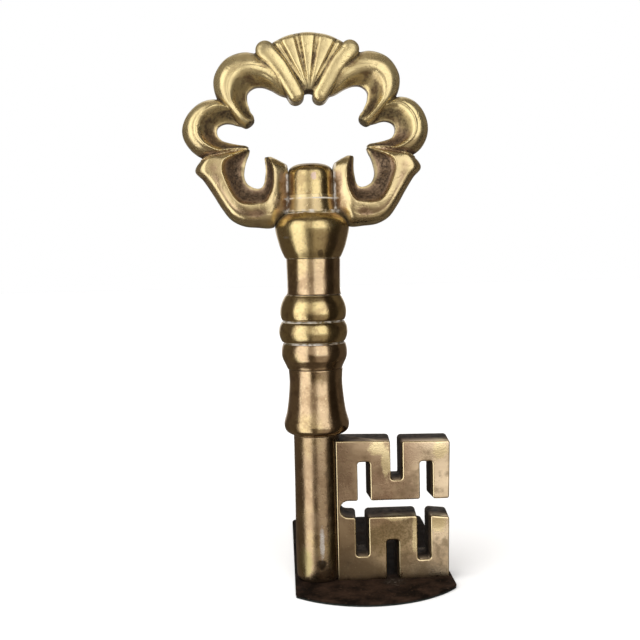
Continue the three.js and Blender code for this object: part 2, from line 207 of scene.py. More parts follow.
def slab(name, outline, levels, place):
    """A solid from an anticlockwise outline: levels are (depth, inset) from front to back, and place(u, v,
    depth) gives a point."""
    points = []
    for depth, distance in levels:
        points += [place(u, v, depth) for u, v in inset(outline, distance)]
    around = len(outline)
    faces = loop_faces(len(levels), around)
    faces.append(tuple(range(around)))
    faces.append(tuple(range((len(levels) - 1) * around, len(levels) * around)))
    thing = object_from(name, points, faces)
    bm = bmesh.new()
    bm.from_mesh(thing.data)
    bmesh.ops.triangulate(bm, faces=[f for f in bm.faces if len(f.verts) > 4])
    bm.to_mesh(thing.data)
    bm.free()
    return thing


def rounded_levels(front, back, edge, steps=3):
    """Levels of a slab whose two rims are rounded by edge. A flat border keeps the faces' shading flat."""
    quarter = [math.pi / 2 * i / steps for i in range(steps + 1)]
    rim = [(0, edge * 1.4)] + [(edge * (1 - math.cos(a)), edge * (1 - math.sin(a))) for a in quarter]
    return [(front + d, e) for d, e in rim] + [(back - d, e) for d, e in rim[::-1]]


# ---------- the turned stem ----------
def lathe(name, section, around=160):
    """Turns (radius, height) points round the Z axis. A section that starts and ends on the axis is closed
    there by fans, and any other is a loop."""
    on_axis = section[0][0] == 0
    ring = section[1:-1] if on_axis else section
    count = len(ring)
    points = []
    for i in range(around):
        a = 2 * math.pi * i / around
        points += [(r * math.cos(a), r * math.sin(a), z) for r, z in ring]
    faces = []
    for i in range(around):
        a, b = i * count, (i + 1) % around * count
        for j in range(count - 1 if on_axis else count):
            k = (j + 1) % count
            faces.append((a + j, a + k, b + k, b + j))
    if on_axis:
        for end, j in ((0, 0), (-1, count - 1)):
            pole = len(points)
            points.append((0, 0, section[end][1]))
            faces += [(pole, i * count + j, (i + 1) % around * count + j) for i in range(around)]
    return object_from(name, points, faces)


def spun(name, outline, foot, top, samples, edge):
    """A turned piece with rounded rims and a bore: outline is (radius, height) from foot to top."""
    path = curve_through([(z, r) for r, z in outline], samples)
    wall = [(r, z) for z, r in path if foot + edge < z < top - edge]
    quarter = [math.pi / 2 * i / 4 for i in range(5)]
    rim = [(edge * (1 - math.sin(a)), edge * (1 - math.cos(a))) for a in quarter]
    low = [(path[0][1] - e, foot + d) for e, d in rim]
    high = [(path[-1][1] - e, top - d) for e, d in rim[::-1]]
    return lathe(name, [(BORE_R, foot)] + low + wall + high + [(BORE_R, top)])


def cylinder(name, radius, foot, top):
    return lathe(name, [(0, foot), (radius, foot), (radius, top), (0, top)])


# The outline of each turned piece, as (radius, height) from its foot to its top.
def shank(low, high):
    return [
        (SHANK_R - 0.9, low), (SHANK_R - 0.25, low + 1), (SHANK_R, low + 2.6), (SHANK_R, high - 20),
        (SHANK_R, high),
    ]


def baluster(low, high):
    rim = low + 5
    return [
        (11.7, low), (12.6, low + 0.6), (13.7, low + 1.4), (14.4, low + 2.6), (14.65, low + 4),
        (14.55, rim + 0.8), (14.1, rim + 2.4), (13.4, rim + 5), (12.9, rim + 8), (12.4, rim + 12),
        (12.05, rim + 16), (11.9, high - 6), (12, high - 3), (12.25, high),
    ]


def lower_bead(low, high):
    return [
        (12.35, low), (12.75, low + 1.2), (13.5, low + 2.8), (14.2, low + 4.3), (14.65, low + 6),
        (14.75, low + 8), (14.55, high - 2), (14.15, high - 0.7), (13.7, high),
    ]


def middle_bead(low, high):
    middle = (low + high) / 2
    return [
        (13.7, low), (14.3, low + 0.8), (14.95, low + 2.2), (15.35, middle - 1), (15.42, middle + 0.4),
        (15.2, middle + 2.2), (14.75, high - 1.4), (14.2, high - 0.5), (13.7, high),
    ]


def upper_bead(low, high):
    return [
        (13.7, low), (14.3, low + 0.9), (14.75, low + 2.4), (14.9, low + 4.6), (14.6, low + 6.6),
        (14, low + 8.5), (13.3, high - 1.7), (12.7, high - 0.6), (12.3, high),
    ]


def neck(low, high):
    return [
        (12.35, low), (12.05, low + 0.9), (11.92, low + 2.4), (11.92, low + 6),
        (12, high - 6), (12.1, high - 2), (12.15, high),
    ]


def bulb(low, high):
    return [
        (12.3, low), (12.75, low + 0.9), (13.75, low + 3), (14.75, low + 5.6), (15.6, low + 8.6),
        (16.3, low + 11.4), (16.6, low + 13.6), (16.4, low + 15.2), (15.6, low + 17.1), (14.3, high - 2.1),
        (12.8, high - 0.9), (HUB_FOOT_R, high),
    ]


# Each turned piece's outline, how many points draw its wall, and the rounding of its rims.
STEM = {
    "shank": (shank, 60, 0.5), "baluster": (baluster, 90, EDGE), "lower_bead": (lower_bead, 60, EDGE),
    "middle_bead": (middle_bead, 60, EDGE), "upper_bead": (upper_bead, 60, EDGE), "neck": (neck, 90, EDGE),
    "bulb": (bulb, 90, EDGE),
}


def stem_piece(node):
    outline, samples, edge = STEM[node]
    low, high = joint_heights(node)
    return spun(node + "_fine", outline(low, high), low, high, samples, edge), node


def cap():
    low, high = joint_heights("cap_nut")
    socket = box_mm("tie_rod")[1][2] + 0.5
    section = [(0, socket), (ROD_R + 0.1, socket), (ROD_R + 0.1, low)]
    section += [(CAP_R - EDGE, low), (CAP_R - EDGE / 4, low + EDGE / 4), (CAP_R, low + EDGE)]
    shoulder = high - CAP_DOME
    section += [(CAP_R, low + (shoulder - low) * i / 8) for i in range(1, 8)]
    for i in range(41):
        a = math.pi / 2 * i / 40
        across, up = math.cos(a) ** (2 / CAP_SQUARENESS), math.sin(a) ** (2 / CAP_SQUARENESS)
        section.append((CAP_R * across, shoulder + CAP_DOME * up))
    section[-1] = (0, high)
    return lathe("cap_fine", section), "cap_nut"


# ---------- the bit ----------
# Slots are (left, right, end), half way through the thickness. The draft of the casting makes them wider at
# the front and narrower at the back.
WARD_GAP = (31.0, 37.8)
BIT_SPINE = 10.2
SLOT_ROUND = 0.9
UPPER_SLOTS = ((18.3, 23.2, 55.5), (33.3, 37.9, 47.8), (46.5, 51.5, 55.1))
LOWER_SLOTS = ((17.1, 22.2, 13.2), (30.9, 35.7, 19.4), (45.0, 50.4, 10.8))
BIT_DRAFT = 0.45
BIT_EDGE = 0.6  # rounding of the bit's front and back rims


def bit():
    left, right = BIT_LOW[0], BIT_HIGH[0]
    foot, top = BIT_LOW[2], BIT_HIGH[2]
    gap_low, gap_high = WARD_GAP
    corner = 1.4
    below = foot - 2  # the outline runs below the foot, and is cut off flat there
    points, radii = [], []

    def corners(*rows):
        for x, z, r in rows:
            points.append((x, z))
            radii.append(r)

    corners((left, below, 0))
    x0, x1, end = LOWER_SLOTS[1]
    corners((x0, below, 0), (x0, end, SLOT_ROUND), (x1, end, SLOT_ROUND), (x1, below, 0))
    corners((right - 1.2, below, 0), (right - 0.7, gap_low - 1, corner))
    for x0, x1, end in (LOWER_SLOTS[2], LOWER_SLOTS[0]):
        corners((x1, gap_low, corner), (x1, end, SLOT_ROUND), (x0, end, SLOT_ROUND), (x0, gap_low, corner))
    corners((BIT_SPINE, gap_low + 0.4, 3.2), (BIT_SPINE, gap_high + 0.2, 3.2))
    for x0, x1, end in (UPPER_SLOTS[0], UPPER_SLOTS[2]):
        corners((x0, gap_high, corner), (x0, end, SLOT_ROUND), (x1, end, SLOT_ROUND), (x1, gap_high, corner))
    corners((right - 0.7, gap_high, corner), (right, top - 1.2, corner))
    x0, x1, end = UPPER_SLOTS[1]
    corners((x1, top - 0.9, corner), (x1, end, SLOT_ROUND), (x0, end, SLOT_ROUND), (x0, top - 0.6, corner))
    corners((left, top, 0))
    outline = rounded_corners(points, radii)
    front, back = BIT_LOW[1], BIT_HIGH[1]
    levels = []
    for y, edge in rounded_levels(front, back, BIT_EDGE):
        backward = 2 * (y - front) / (back - front) - 1
        levels.append((y, edge - BIT_DRAFT * backward))
    thing = slab("bit_fine", outline, levels, lambda x, z, y: (x, y, max(z, foot)))
    cut(thing, cylinder("hole", SHANK_R + BIT_CASTING_GAP, foot - 5, top + 5))
    return thing, "bit"


# ---------- the tongue ----------
FRONT_ARC_X, FRONT_ARC_R = 22.4, 49.2  # the front edge is part of this circle
FRONT_CORNER = 1.2


def tongue_outline(steps=72, corner=4.5):
    left, right, front, back = PLATE_LOW[0], PLATE_HIGH[0], PLATE_LOW[1], PLATE_HIGH[1]
    arc_y = front + FRONT_ARC_R
    start = -math.acos((left - FRONT_ARC_X) / FRONT_ARC_R)
    end = -math.acos((right - FRONT_ARC_X) / FRONT_ARC_R)
    arc = []
    for i in range(steps + 1):
        a = start + (end - start) * i / steps
        arc.append((FRONT_ARC_X + FRONT_ARC_R * math.cos(a), arc_y + FRONT_ARC_R * math.sin(a)))
    radii = [FRONT_CORNER] + [0] * (steps - 1) + [FRONT_CORNER]
    return rounded_corners(arc + [(right, back), (left, back)], radii + [corner, corner], steps=6)


def tongue():
    low, high = joint_heights("tongue_plate")
    levels = rounded_levels(low, high, 0.3, steps=2)
    thing = slab("tongue_fine", tongue_outline(), levels, lambda x, y, z: (x, y, z))
    for node in SCREW_NODES:
        screw_low, screw_high = box_mm(node)
        middle = (screw_low[0] + screw_high[0]) / 2
        head = (screw_high[0] - screw_low[0]) / 2 + 0.1
        deep = high - low + 0.2
        sink = [(0, low - 0.1), (head, low - 0.1), (head - deep, high + 0.1), (0, high + 0.1)]
        hole = lathe("hole", sink, around=48)
        hole.location.x = middle * MM
        bpy.context.view_layer.update()
        cut(thing, hole)
    return thing, "tongue_plate"


def felt():
    low, high = joint_heights("felt_pad")
    outline = inset(tongue_outline(), 0.15)
    levels = rounded_levels(low, high, 0.25, steps=2)
    return slab("felt_fine", outline, levels, lambda x, y, z: (x, y, z)), "felt_pad"


# ---------- the bow ----------
# The bow is one casting: a band lofted for each scroll, a fan of petals between two rolls at the top, and
# ribs along the mitres, all joined. Each station of a band holds its outer edge (x, z), its inner edge
# (x, z), how far across the outer flank and the crest lie (0 to 1), the heights above the middle plane of the
# flank and the crest, those of the outer and inner edges, the flank's bulge (0.5 round, 1 flat), and how soft
# the fall inside the crest is (0 a crisp crest over a hollow scoop, 1 a full round back). The left half is
# the right half mirrored and made uneven.
RIM = 2.2
UPPER_SCROLL = [
    (16.5, 240.2, 7.5, 219, 0.42, 0.46, 7.4, 7.6, 1, 3, 0.5, 0.9),
    (22, 238.5, 12, 220.2, 0.42, 0.46, 7.9, 8.1, 0, 2.6, 0.5, 0.9),
    (27, 239, 16, 222.4, 0.42, 0.46, 8.2, 8.4, 0, RIM, 0.5, 0.85),
    (31.5, 238.1, 19.5, 223.7, 0.42, 0.46, 8.4, 8.6, 0, RIM, 0.5, 0.75),
    (35.5, 236, 22.7, 223.7, 0.42, 0.46, 8.4, 8.6, 0, RIM, 0.5, 0.65),
    (38.7, 232.3, 25, 222.4, 0.42, 0.46, 8.5, 8.7, 0, RIM, 0.5, 0.6),
    (40.6, 227.7, 26.2, 220.7, 0.42, 0.46, 8.5, 8.7, 0, RIM, 0.5, 0.6),
    (40.5, 222.9, 26.3, 218.8, 0.42, 0.46, 8.5, 8.7, 0, RIM, 0.5, 0.5),
    (38.8, 218.2, 26, 216.7, 0.41, 0.45, 8.45, 8.7, 0, RIM, 0.5, 0.35),
    (35.5, 214, 25.2, 214.6, 0.40, 0.44, 8.2, 8.5, 0, RIM, 0.5, 0.2),
    (32, 210.2, 24.4, 212.6, 0.41, 0.45, 7.7, 8.0, 0, RIM, 0.5, 0.1),
    (29, 207, 23.2, 211, 0.43, 0.47, 6.9, 7.2, 0, RIM, 0.5, 0.2),
    (26.8, 206, 22.8, 209.4, 0.48, 0.52, 6.0, 6.2, 1, 1.4, 0.5, 0.7),
    (26.0, 206, 22.9, 208.4, 0.48, 0.52, 4.0, 4.1, 1, 1, 0.5, 0.9),
]
MIDDLE_SCROLL = [
    (36, 216.9, 28, 206.7, 0.24, 0.28, 6.2, 6.7, 0, RIM, 0.5, 0.1),
    (39.2, 218.5, 30.3, 207.2, 0.26, 0.30, 7, 7.6, 0, RIM, 0.5, 0.1),
    (43, 218.4, 32.6, 207.9, 0.28, 0.32, 7.7, 8.1, 0, RIM, 0.5, 0.2),
    (46.6, 217, 34.9, 208.1, 0.32, 0.36, 8, 8.4, 0, RIM, 0.5, 0.3),
    (49.9, 214.3, 37, 207.5, 0.35, 0.39, 8, 8.4, 0, RIM, 0.5, 0.35),
    (52.4, 210.6, 38.5, 206.3, 0.37, 0.41, 8, 8.4, 0, RIM, 0.5, 0.4),
    (53.8, 206.2, 39, 204.4, 0.39, 0.43, 8, 8.4, 0, RIM, 0.5, 0.4),
    (53.6, 202.2, 38.5, 202.4, 0.40, 0.44, 8, 8.4, 0, RIM, 0.5, 0.35),
    (52, 198.4, 37, 200.6, 0.42, 0.46, 7.9, 8.3, 0, RIM, 0.5, 0.3),
    (49.3, 195.1, 34.8, 199.7, 0.44, 0.48, 7.4, 7.8, 0, RIM, 0.5, 0.25),
    (45.5, 192.9, 32, 199, 0.46, 0.50, 6.6, 7, 0, RIM, 0.5, 0.2),
    (39, 194.2, 29.4, 198.5, 0.48, 0.52, 5.6, 6, 0, RIM, 0.5, 0.1),
    (32.5, 195.4, 27, 198.1, 0.48, 0.52, 4.5, 4.8, 0, RIM, 0.5, 0),
    (27.2, 196.5, 25.7, 197.3, 0.46, 0.50, 3.3, 3.5, 2, 2, 0.5, 0),
]
LOWER_SCROLL = [
    (26.6, 196.8, 25.5, 196.2, 0.3, 0.5, 3.4, 3.5, 2, 2, 0.5, 0),
    (33, 195.7, 26.1, 194.4, 0.22, 0.5, 5, 5.2, 0, RIM, 0.5, 0),
    (40, 194.4, 27.1, 192.2, 0.2, 0.48, 6.8, 7, 0, RIM, 0.5, 0),
    (46, 192.5, 27.9, 189.9, 0.2, 0.5, 7.9, 8.2, 0, RIM, 0.5, 0),
    (49.6, 187.4, 28.5, 186.9, 0.27, 0.56, 8, 8.5, 0, RIM, 0.5, 0),
    (46.2, 183.2, 28.6, 184.9, 0.27, 0.52, 7.9, 8.5, 0, RIM, 0.5, 0),
    (42.4, 177.2, 28.1, 182.9, 0.27, 0.48, 7.8, 8.5, 0, RIM, 0.5, 0),
    (38.6, 170.7, 27.1, 181.2, 0.27, 0.46, 7.7, 8.5, 0, RIM, 0.5, 0),
    (34.7, 165.6, 25.7, 180.2, 0.27, 0.48, 7.6, 8.5, 0, RIM, 0.5, 0),
    (29.5, 162.8, 24.2, 179.5, 0.27, 0.54, 7.6, 8.5, 0, RIM, 0.5, 0),
    (23.5, 162, 22.6, 179.3, 0.3, 0.58, 7.6, 8.5, 0, RIM, 0.5, 0),
    (16.5, 162, 21.1, 179.8, 0.36, 0.62, 7.9, 8.5, 1.5, RIM, 0.6, 0),
    (11.6, 167.4, 20.1, 181.6, 0.5, 0.64, 7.8, 8.3, 3.5, RIM, 0.8, 0),
    (9.4, 172.9, 19.7, 183.6, 0.5, 0.64, 7.4, 7.9, 3.2, RIM, 0.9, 0),
    (8.6, 178.9, 19.3, 186.4, 0.53, 0.66, 7, 7.4, 3, RIM, 0.95, 0),
    (8.6, 187.8, 19.3, 189.6, 0.58, 0.7, 6.6, 7, 2.6, RIM, 0.9, 0),
    (12.5, 191, 19.5, 191.9, 0.5, 0.66, 5, 5.6, 2, RIM, 0.7, 0),
    (16.5, 193.1, 19.3, 193, 0.3, 0.6, 3.2, 3.5, 2, 2, 0.5, 0),
]
# The hand-cut pattern is uneven: its left half is wider, and the side scrolls at mid height lean left.
LEFT_WIDER = 1.03
LEAN = (-0.9, 206.0, 11.0)
# The fan's outline is an arc round z. Its petals spread from a higher point: (angle from upright, half width
# in degrees, height above the fan's floor), with thin ribs in the grooves between them.
FAN = {"z": 217, "r": 30, "half": 38, "start": 4.6, "floor": 6.3, "rim": 3.6}
PETALS_FROM = 220
PETALS = [(-20.8, 7.2, 1.9), (-0.3, 8.1, 2.0), (19.4, 8.5, 1.9)]
GROOVE_RIBS = [(-31.8, 3.4, 1.4), (-11.1, 2.2, 1.3), (9.5, 1.8, 1.3), (31.8, 3.4, 1.4)]
BOW_VOXEL = 0.3
BOW_CLEARANCE = 0.15  # round the cap and the bulb


def uneven(x, z):
    shift, level, spread = LEAN
    wide = x * LEFT_WIDER if x < 0 else x
    return wide + shift * math.exp(-(((z - level) / spread) ** 2))


def mirrored_ring(front):
    """The full loop of a section from its front half, (x, height, z) points from one edge to the other."""
    back = [(x, -y, z) for x, y, z in front[::-1]]
    return [tuple(p) for p in front] + back


def loft(name, rings, grime_and_shade):
    """A closed form through rings. The last argument holds how dark each point of a ring's front half is
    painted, as grime and painted shade, 0 to 1, as one row for all rings or one for each."""
    around = len(rings[0])
    points = [p for ring in rings for p in ring]
    faces = loop_faces(len(rings), around)
    for base, ring in ((0, rings[0]), ((len(rings) - 1) * around, rings[-1])):
        middle = len(points)
        points.append(tuple(np.mean(np.array(ring), axis=0)))
        faces += [(middle, base + j, base + (j + 1) % around) for j in range(around)]
    thing = object_from(name, points, faces)
    front = np.broadcast_to(np.array(grime_and_shade, float), (len(rings), around // 2))
    values = np.concatenate([front, front[:, ::-1]], axis=1).ravel()
    values = np.append(values, [values[0], values[-1]]).astype(np.float32)
    thing.data.attributes.new("grime_and_shade", "FLOAT", "POINT").data.foreach_set("value", values)
    return thing


def smooth_step(value, low, high):
    t = np.clip((np.asarray(value, float) - low) / (high - low), 0, 1)
    return t * t * (3 - 2 * t)


def scroll(name, stations, side, samples, blunt_end=False):
    """A band with a rounded outer flank, a facet up to its crest, and a scoop inside the crest."""
    rings, grime_and_shade = [], []
    ramp = np.linspace(0, 1, 15)
    for at, row in enumerate(curve_through(stations, samples)):
        ox, oz, ix, iz, flank, crest, flank_y, crest_y, outer_y, inner_y, bulge, soft = row
        outer_y, inner_y, soft = max(outer_y, 0.06), max(inner_y, 0.3), min(max(soft, 0), 1)
        across = [flank * t for t in ramp]
        height = [outer_y + (flank_y - outer_y) * (1 - (1 - t) ** (1 / bulge)) ** bulge for t in ramp]
        for t in (0.25, 0.5, 0.75, 1):
            across.append(flank + (crest - flank) * t)
            height.append(flank_y + (crest_y - flank_y) * (1 - (1 - t) ** 1.5))
        for t in ramp[1:]:
            across.append(crest + (1 - crest) * t)
            fall = (1 - t ** (1 + 1.5 * soft)) ** (1.8 + 1.2 * soft - 2.4 * soft**2)
            height.append(inner_y + (crest_y - inner_y) * fall)
        inside = (np.array(across) - crest) / (1 - crest)
        # Painted shade with some grime: dark in the scoop just inside the crest, along the outer rim and on
        # the blunt end of a hook.
        grime_and_shade_across = smooth_step(inside, 0.05 + 0.3 * soft, 0.35 + 0.4 * soft)
        grime_and_shade_across = grime_and_shade_across * (1 - 0.6 * smooth_step(inside, 0.45, 1)) * (1 - 0.75 * soft)
        grime_and_shade_across = np.maximum(grime_and_shade_across, 0.5 - 0.5 * smooth_step(np.array(across), 0.02, 0.14))
        if blunt_end:
            grime_and_shade_across = np.maximum(grime_and_shade_across, 0.9 * smooth_step(at / samples, 0.92, 0.98))
        front = []
        for u, y in zip(across, height):
            x, z = ox + (ix - ox) * u, oz + (iz - oz) * u
            front.append((uneven(side * x, z), y, z))
        rings.append(mirrored_ring(front))
        grime_and_shade.append(grime_and_shade_across)
    return loft(name, rings, grime_and_shade)


def rib(name, rows, side, samples=40, crown=None, grime_and_shade=0.0):
    """A bar along (x, z, half width, height) rows. It is a roof with a crisp ridge, or with a crown it has
    upright sides and a round back that rises crown times its half width."""
    path = curve_through(rows, samples)
    ahead = np.gradient(path[:, :2], axis=0)
    ahead /= np.linalg.norm(ahead, axis=1)[:, None]
    rings = []
    ts = np.sin(np.linspace(-math.pi / 2, math.pi / 2, 29))
    for (x, z, half, height), (dx, dz) in zip(path, ahead):
        front = []
        for t in ts:
            y = height * (1 - abs(t))
            if crown:
                round_back = (1 - abs(t) ** CROWN_SQUARENESS) ** (1 / CROWN_SQUARENESS)
                y = height - crown * half * (1 - round_back)
            y = max(y, 0.02)
            px, pz = x - dz * half * t, z + dx * half * t
            front.append((uneven(side * px, pz), y, pz))
        rings.append(mirrored_ring(front))
    # Painted shade darkens the steep sides of a crowned bar.
    edges = smooth_step(np.abs(ts), 0.74, 1) if crown else np.zeros(len(ts))
    along = np.broadcast_to(np.array(grime_and_shade, float), (samples,))
    return loft(name, rings, np.maximum(along[:, None], 0.65 * edges))


ROLL = [(18.2, 238.5, 4.1, 9.3), (12.3, 231.5, 4.0, 8.9), (5.3, 219.8, 3.5, 7.6)]  # x, z, radius, height
ROLL_CROWN, CROWN_SQUARENESS = 0.7, 2.3


def roll(side):
    """The long drop beside the fan, round at both ends."""
    body = curve_through(ROLL, 41)
    rows = [tuple(row) for row in body]
    for end, inward, first in ((body[0], body[1], True), (body[-1], body[-2], False)):
        out = (end - inward)[:2] / math.dist(end[:2], inward[:2])
        x, z, radius, height = end
        for past in np.sin(np.linspace(0, math.pi / 2, 12))[1:]:
            shrink = max(math.sqrt(1 - past**2), 0.02)
            top = height - ROLL_CROWN * radius * (1 - shrink)
            row = (x + out[0] * radius * past, z + out[1] * radius * past, radius * shrink, top)
            rows = [row] + rows if first else rows + [row]
    # The drop is painted darker at its upper end.
    knob = 0.5 - 0.5 * smooth_step(np.linspace(0, 1, 110), 0.12, 0.3)
    return rib("roll", rows, side, samples=110, crown=ROLL_CROWN, grime_and_shade=knob)


def fan():
    """The shell's petals, as heights over angle and radius."""
    angles = np.radians(np.linspace(-FAN["half"], FAN["half"], 241))
    rings, grime_and_shade = [], []
    for radius in np.linspace(FAN["start"], FAN["r"], 80):
        x, z = radius * np.sin(angles), FAN["z"] + radius * np.cos(angles)
        turn = np.degrees(np.arctan2(x, np.maximum(z - PETALS_FROM, 0.01)))
        grown = smooth_step(np.hypot(x, np.maximum(z - PETALS_FROM, 0)), 0, 9) ** 0.8
        over = math.sqrt(max(1 - max(1 - (FAN["r"] - radius) / FAN["rim"], 0) ** 2.6, 0))
        ridge = np.zeros_like(x)
        for profile, rows in ((3.4, PETALS), (2.0, GROOVE_RIBS)):
            for centre, half, height in rows:
                off = np.minimum(np.abs(turn - centre) / half, 1)
                ridge = np.maximum(ridge, height * (1 - off**profile) ** (1 / profile))
        y = np.maximum((FAN["floor"] + ridge * grown) * over, 0.05)
        rings.append(mirrored_ring(list(zip(x, y, z))))
        # Painted shade and grime where the petals are low: in their grooves and near the fan's centre.
        grime_and_shade.append(0.7 - 0.7 * smooth_step(ridge * grown, 0.3, 1.9))
    return loft("fan", rings, grime_and_shade)


# Sharp ridges where the middle and lower scrolls meet: (x, z, half width, height).
MITRE_RIBS = [
    [
        (46.6, 191.8, 0.5, 5.5), (44, 193, 1.5, 7.7), (37, 194.9, 1.4, 6.6), (31, 196.1, 1, 5),
        (26.2, 196.8, 0.3, 2.6),
    ],
    [(45.2, 192.6, 0.6, 6.2), (40.5, 195, 1.1, 6.6), (34, 196.2, 0.9, 5.4), (26.8, 197, 0.3, 2.6)],
]


def joined(name, parts):
    bm = bmesh.new()
    for part in parts:
        bm.from_mesh(part.data)
        bpy.data.objects.remove(part)
    mesh = bpy.data.meshes.new(name)
    bm.to_mesh(mesh)
    bm.free()
    return new_object(name, mesh)


def point_array(mesh, field="co"):
    values = np.empty(len(mesh.vertices) * 3)
    mesh.vertices.foreach_get(field, values)
    return values.reshape(-1, 3)


def bow():
    eye = [(0, HUB_FOOT - 2), (HUB_FOOT_R, HUB_FOOT - 2), (HUB_FOOT_R, HUB_FOOT), (HUB_TOP_R, HUB_TOP)]
    hub = lathe("eye", eye + [(HUB_TOP_R, HUB_TOP + 2), (0, HUB_TOP + 2)])
    bands = [fan()]
    for side in (-1, 1):
        bands.append(roll(side))
        bands.append(scroll("upper", UPPER_SCROLL, side, 120, blunt_end=True))
        bands.append(scroll("middle", MIDDLE_SCROLL, side, 120))
        bands.append(scroll("lower", LOWER_SCROLL, side, 170))
        bands += [rib("mitre", rows, side, grime_and_shade=0.1) for rows in MITRE_RIBS]
    thing = joined("bow_fine", bands + [hub])
    drawn = point_array(thing.data)
    grime_and_shade = np.empty(len(drawn), np.float32)
    thing.data.attributes["grime_and_shade"].data.foreach_get("value", grime_and_shade)
    nearest = KDTree(len(drawn))
    for i, point in enumerate(drawn):
        nearest.insert(point, i)
    nearest.balance()
    remeshed(thing, BOW_VOXEL)
    cut(thing, cylinder("cap_room", CAP_R + BOW_CLEARANCE, HUB_TOP, HUB_TOP + 30))
    bulb_low, bulb_high = joint_heights("bulb")
    room = [(r + BOW_CLEARANCE, z) for r, z in bulb(bulb_low, bulb_high)]
    room = [(0, bulb_low)] + room + [(0, HUB_FOOT)]
    cut(thing, lathe("bulb_room", room))
    cut(thing, cylinder("rod_room", BORE_R, HUB_FOOT - 5, HUB_TOP + 5))
    # The painted shade and grime go to each remeshed point from the nearest drawn one.
    values = np.array([grime_and_shade[nearest.find(point)[1]] for point in point_array(thing.data)], np.float32)
    thing.data.attributes.new("grime_and_shade", "FLOAT", "POINT").data.foreach_set("value", values)
    return thing, "bow"


# ---------- materials ----------
class Nodes:
    """Short calls that build a node tree."""

    def __init__(self, tree):
        self.tree = tree

    def add(self, kind, sockets=(), **settings):
        made = self.tree.nodes.new(kind)
        for key, value in settings.items():
            setattr(made, key, value)
        for key, value in dict(sockets).items():
            self.plug(made.inputs[key], value)
        return made

    def plug(self, socket, value):
        if isinstance(value, bpy.types.NodeSocket):
            self.tree.links.new(value, socket)
        else:
            socket.default_value = value

    def vector(self, operation, a, b=None, scale=None):
        made = self.add("ShaderNodeVectorMath", operation=operation)
        self.plug(made.inputs[0], a)
        if b is not None:
            self.plug(made.inputs[1], b)
        if scale is not None:
            self.plug(made.inputs["Scale"], scale)
        return made.outputs[0]

    def math(self, operation, a, b=0.0, clamp=False):
        made = self.add("ShaderNodeMath", {0: a, 1: b}, operation=operation, use_clamp=clamp)
        return made.outputs[0]

    def plus(self, a, b, clamp=False):
        return self.math("ADD", a, b, clamp)

    def minus(self, a, b, clamp=False):
        return self.math("SUBTRACT", a, b, clamp)

    def times(self, a, b):
        return self.math("MULTIPLY", a, b)

    def most(self, a, b):
        return self.math("MAXIMUM", a, b)

    def length(self, vector):
        return self.add("ShaderNodeVectorMath", {0: vector}, operation="LENGTH").outputs["Value"]

    def ramp(self, value, low, high, to_low=0.0, to_high=1.0):
        sockets = {"Value": value, "From Min": low, "From Max": high, "To Min": to_low, "To Max": to_high}
        return self.add("ShaderNodeMapRange", sockets, interpolation_type="SMOOTHSTEP").outputs["Result"]

    def mix(self, amount, a, b):
        made = self.add("ShaderNodeMix", data_type="RGBA")
        self.plug(made.inputs[0], amount)
        for socket, value in ((made.inputs[6], a), (made.inputs[7], b)):
            self.plug(socket, value if isinstance(value, bpy.types.NodeSocket) else (*value, 1))
        return made.outputs[2]


class Shade(Nodes):
    """One material. Positions are in millimetres."""

    def __init__(self, name):
        self.material = bpy.data.materials.new(name)
        self.material.use_nodes = True
        super().__init__(self.material.node_tree)
        self.shader = self.tree.nodes["Principled BSDF"]
        place = self.add("ShaderNodeTexCoord").outputs["Object"]
        self.place = self.vector("SCALE", place, scale=1 / MM)

    def noise(self, size, detail=3, rough=0.55, stretch=(1, 1, 1), shift=0.0):
        """Noise from 0 to 1 whose blotches are about size millimetres across."""
        where = self.vector("MULTIPLY", self.place, tuple(c / size for c in stretch))
        where = self.vector("ADD", where, (shift, shift * 0.7, shift * 1.3))
        sockets = {"Vector": where, "Scale": 1.0, "Detail": detail, "Roughness": rough}
        return self.add("ShaderNodeTexNoise", sockets).outputs["Fac"]

    def axis(self, letter):
        return self.add("ShaderNodeSeparateXYZ", {0: self.place}).outputs[letter]

    def openness(self, reach):
        """1 on open surfaces, falling towards 0 in hollows narrower than reach millimetres."""
        return self.add("ShaderNodeAmbientOcclusion", {"Distance": reach * MM}, samples=8).outputs["AO"]

    def facing(self):
        """1 on surfaces that face the front or the back, and 0 on those that face sideways, up or down."""
        normal = self.add("ShaderNodeTexCoord").outputs["Normal"]
        forward = self.add("ShaderNodeSeparateXYZ", {0: normal}).outputs["Y"]
        return self.math("ABSOLUTE", forward)

    def bump(self, height, millimetres, normal=None):
        sockets = {"Height": height, "Strength": 1.0, "Distance": millimetres * MM}
        if normal is not None:
            sockets["Normal"] = normal
        return self.add("ShaderNodeBump", sockets).outputs["Normal"]

    def patch(self, x, z, wide, high, ragged=0.7, grain=2.0):
        """1 in a ragged spot round (x, z) that reaches about wide and high each way, seen along Y."""
        off = self.vector("SUBTRACT", self.place, (x, 0, z))
        off = self.vector("MULTIPLY", off, (1 / wide, 0, 1 / high))
        away = self.length(off)
        torn = self.minus(self.noise(grain, 4, 0.7, shift=x), 0.5)
        torn = self.times(torn, ragged * 2)
        return self.ramp(self.plus(away, torn), 0.6, 1.25, 1.0, 0.0)

    def near(self, value, level, half, soft=0.5):
        """1 where value is within half of level, fading out."""
        off = self.math("ABSOLUTE", self.minus(value, level))
        return self.ramp(off, half * (1 - soft), half, 1.0, 0.0)

    def set(self, **sockets):
        for key, value in sockets.items():
            self.plug(self.shader.inputs[key.replace("_", " ")], value)
        return self.material


